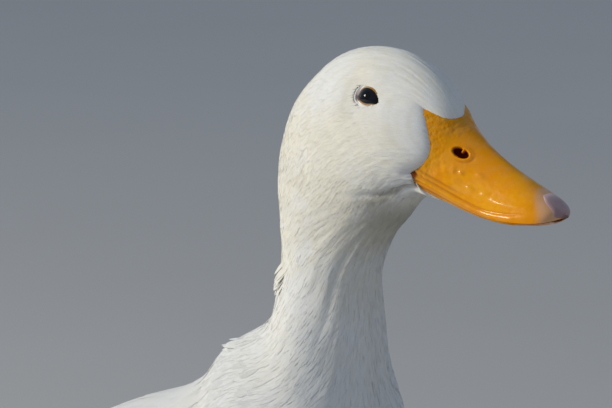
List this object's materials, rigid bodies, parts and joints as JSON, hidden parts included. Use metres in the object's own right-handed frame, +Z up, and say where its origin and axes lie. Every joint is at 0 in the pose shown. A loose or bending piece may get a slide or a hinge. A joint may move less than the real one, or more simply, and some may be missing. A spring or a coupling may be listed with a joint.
{
  "type": "duck",
  "caption": "Life-size still model of a white domestic duck of the Pekin type, standing with its neck raised and its orange bill turned a little aside.",
  "frame": {"origin": "on the floor under the middle of the duck's overall length, in the middle plane of its body", "axes": "+X forward along the body toward the breast and bill, +Y to the duck's left, +Z up"},
  "size_m": [0.4989, 0.19, 0.4388],
  "materials": {
    "head_feathers": "short velvety white feathers, slightly creamy, matt",
    "body_feathers": "soft white contour feathers, matt",
    "wing_feathers": "firm white vaned feathers, satin sheen along the barbs",
    "tail_feathers": "firm white vaned feathers, satin sheen along the barbs",
    "bill": "moist orange-yellow skin over the bill, glossy, browner at the base",
    "bill_nail": "horny nail, mauve-grey to pinkish beige, satin gloss",
    "eye": "wet, near-black, glossy",
    "leg_skin": "orange scaled skin, satin"
  },
  "bodies": {
    "root": {"tail": "tail_feathers", "trunk": "body_feathers", "neck_lower": "body_feathers", "neck_upper": "head_feathers", "head": "head_feathers", "bill_upper": "bill", "bill_nail": "bill_nail", "bill_lower": "bill", "eye_left": "eye", "eye_right": "eye", "wing_left": "wing_feathers", "wing_right": "wing_feathers", "primaries_left": "wing_feathers", "primaries_right": "wing_feathers", "thigh_left": "body_feathers", "thigh_right": "body_feathers", "shank_left": "leg_skin", "shank_right": "leg_skin", "foot_left": "leg_skin", "foot_right": "leg_skin", "hind_toe_left": "leg_skin", "hind_toe_right": "leg_skin"}
  },
  "joints": []
}
